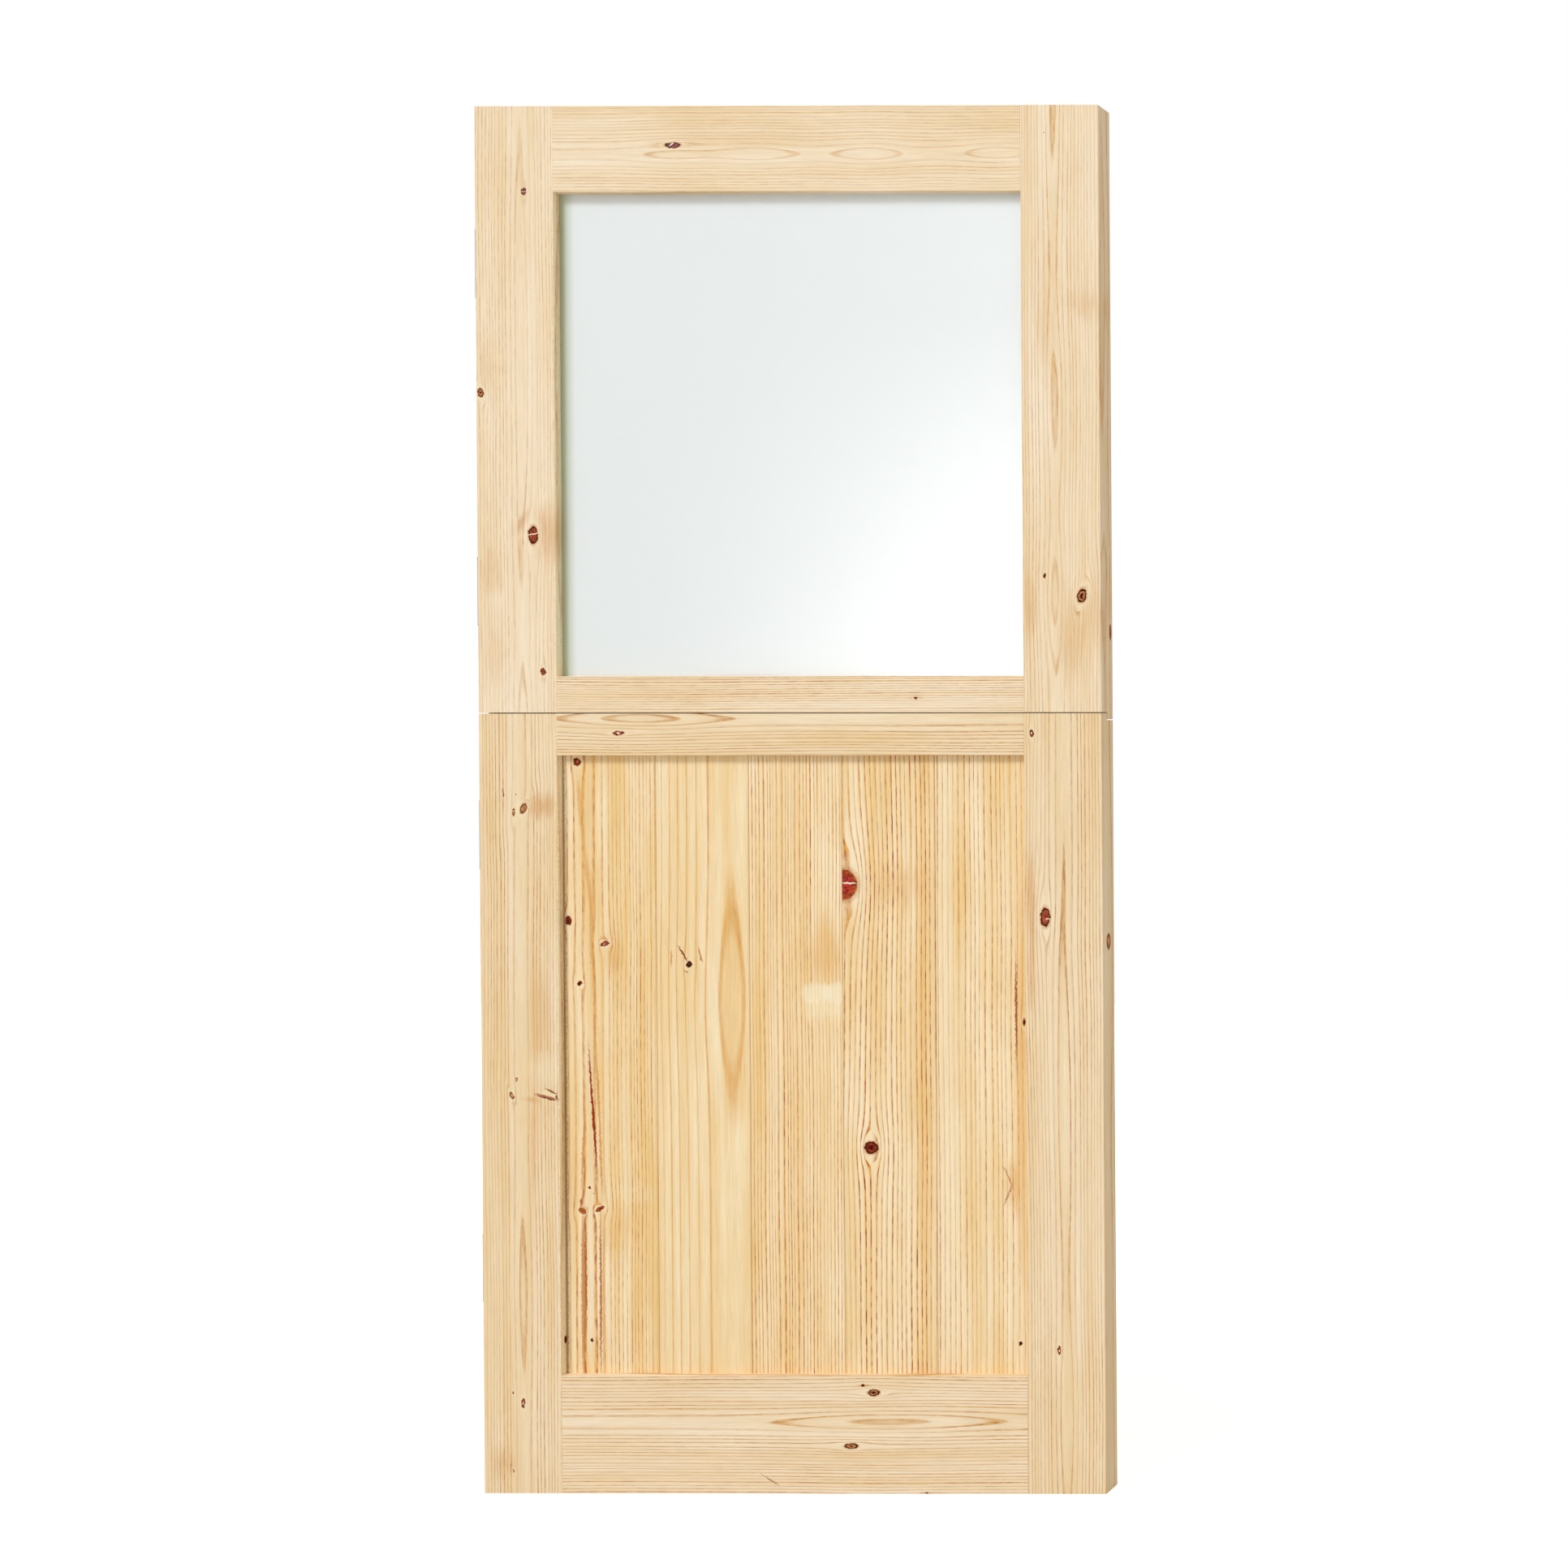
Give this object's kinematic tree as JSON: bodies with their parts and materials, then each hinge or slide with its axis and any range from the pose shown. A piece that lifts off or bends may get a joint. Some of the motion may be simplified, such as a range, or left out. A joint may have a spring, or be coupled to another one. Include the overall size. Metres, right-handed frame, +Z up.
{
  "type": "dutch stable door",
  "caption": "Stable door in two leaves with a rebated meeting joint: frosted glass in a framed upper leaf, vertical planks in a framed lower leaf, hung on butt hinges.",
  "frame": {"origin": "bottom centre of the closed door: middle of its width and thickness, at its bottom edge", "axes": "+X from the hinge edge to the lock edge, +Y from the front face to the rear face where the hinge knuckles are, +Z up"},
  "size_m": [0.9214, 0.0631, 2.032],
  "materials": {
    "stile_pine": "bare planed knotty pine",
    "plank_pine": "bare planed knotty pine, golden",
    "frosted_glass": "satin etched",
    "clear_glass": "clear",
    "spacer_aluminium": "mill",
    "pane_sealant": "matt",
    "setting_rubber": "matt",
    "screw_steel": "zinc plated",
    "hinge_steel": "satin"
  },
  "bodies": {
    "jamb_side": {"hinge_1_jamb_leaf": "hinge_steel", "hinge_1_pin": "hinge_steel", "hinge_1_tip": "hinge_steel", "hinge_2_jamb_leaf": "hinge_steel", "hinge_2_pin": "hinge_steel", "hinge_2_tip": "hinge_steel", "hinge_3_jamb_leaf": "hinge_steel", "hinge_3_pin": "hinge_steel", "hinge_3_tip": "hinge_steel", "hinge_4_jamb_leaf": "hinge_steel", "hinge_4_pin": "hinge_steel", "hinge_4_tip": "hinge_steel"},
    "lower_leaf": {"lower_hinge_stile": "stile_pine", "lower_lock_stile": "stile_pine", "lower_meeting_rail": "stile_pine", "bottom_rail": "stile_pine", "lower_hinge_screws": "screw_steel", "hinge_3_stile_leaf": "hinge_steel", "hinge_4_stile_leaf": "hinge_steel", "plank_1": "plank_pine", "plank_2": "plank_pine", "plank_3": "plank_pine", "plank_4": "plank_pine", "plank_5": "plank_pine"},
    "upper_leaf": {"upper_hinge_stile": "stile_pine", "upper_lock_stile": "stile_pine", "top_rail": "stile_pine", "upper_meeting_rail": "stile_pine", "frosted_pane": "frosted_glass", "rear_pane": "clear_glass", "pane_spacer": "spacer_aluminium", "pane_seal": "pane_sealant", "setting_blocks": "setting_rubber", "upper_hinge_screws": "screw_steel", "hinge_1_stile_leaf": "hinge_steel", "hinge_2_stile_leaf": "hinge_steel", "glazing_bead_bottom": "stile_pine", "glazing_bead_lock_side": "stile_pine", "glazing_bead_top": "stile_pine", "glazing_bead_hinge_side": "stile_pine"}
  },
  "joints": [
    {"name": "lower_leaf_swing", "type": "hinge", "parent": "jamb_side", "child": "lower_leaf", "pos_m": [-0.4582, 0.03492, 0], "axis": [0, 0, 1], "range_deg": [0, 90]},
    {"name": "upper_leaf_swing", "type": "hinge", "parent": "lower_leaf", "child": "upper_leaf", "pos_m": [-0.4582, 0.03492, 1.2725], "axis": [0, 0, 1], "range_deg": [0, 90]}
  ]
}
